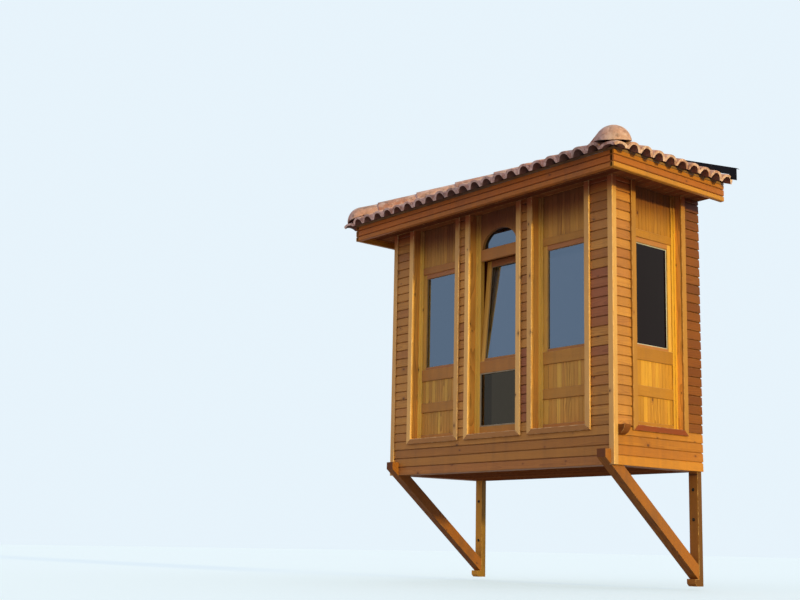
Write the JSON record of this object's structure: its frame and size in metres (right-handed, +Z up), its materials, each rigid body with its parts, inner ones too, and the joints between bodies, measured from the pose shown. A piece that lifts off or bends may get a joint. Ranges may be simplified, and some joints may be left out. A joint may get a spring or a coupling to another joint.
{
  "type": "wooden oriel window",
  "caption": "Timber oriel window on diagonal wall brackets, with deep window bays on three sides, an arched fanlight, a tilted sash and a hipped clay tile roof.",
  "frame": {"origin": "centre of the wall ledger's back face, on the wall plane, level with the floor structure", "axes": "+X along the facade to the right as seen from outside, +Y into the wall, +Z up"},
  "size_m": [3.85, 1.6366, 4.3663],
  "materials": {
    "timber": "satin varnish",
    "glazing": "clear double glazing",
    "clay": "weathered clay",
    "flashing": "dark sheet"
  },
  "bodies": {
    "root": {"wall_ledger": "timber", "underside_boards": "timber", "floor_deck": "timber", "back_frame": "timber", "front_apron": "timber", "side_aprons": "timber", "middle_piers": "timber", "rear_piers": "timber", "corner_trims": "timber", "side_consoles": "timber", "left_corner_pier": "timber", "right_corner_pier": "timber", "left_wall_post": "timber", "right_wall_post": "timber", "left_strut": "timber", "right_strut": "timber", "front_casings": "timber", "side_casings": "timber", "left_front_frame": "timber", "right_front_frame": "timber", "middle_frame": "timber", "left_side_frame": "timber", "right_side_frame": "timber", "left_front_sash": "timber", "right_front_sash": "timber", "left_side_sash": "timber", "right_side_sash": "timber", "tilted_sash": "timber", "soffit_boards": "timber", "ceiling_panel": "timber", "front_fascia": "timber", "side_fascias": "timber", "roof_frame": "timber", "front_roof_deck": "timber", "side_roof_decks": "timber", "front_glass": "glazing", "side_glass": "glazing", "tilted_glass": "glazing", "fanlight_glass": "glazing", "lower_pane": "glazing", "front_tile_slope": "clay", "side_tile_slopes": "clay", "hip_caps": "clay", "wall_flashing": "flashing"}
  },
  "joints": []
}
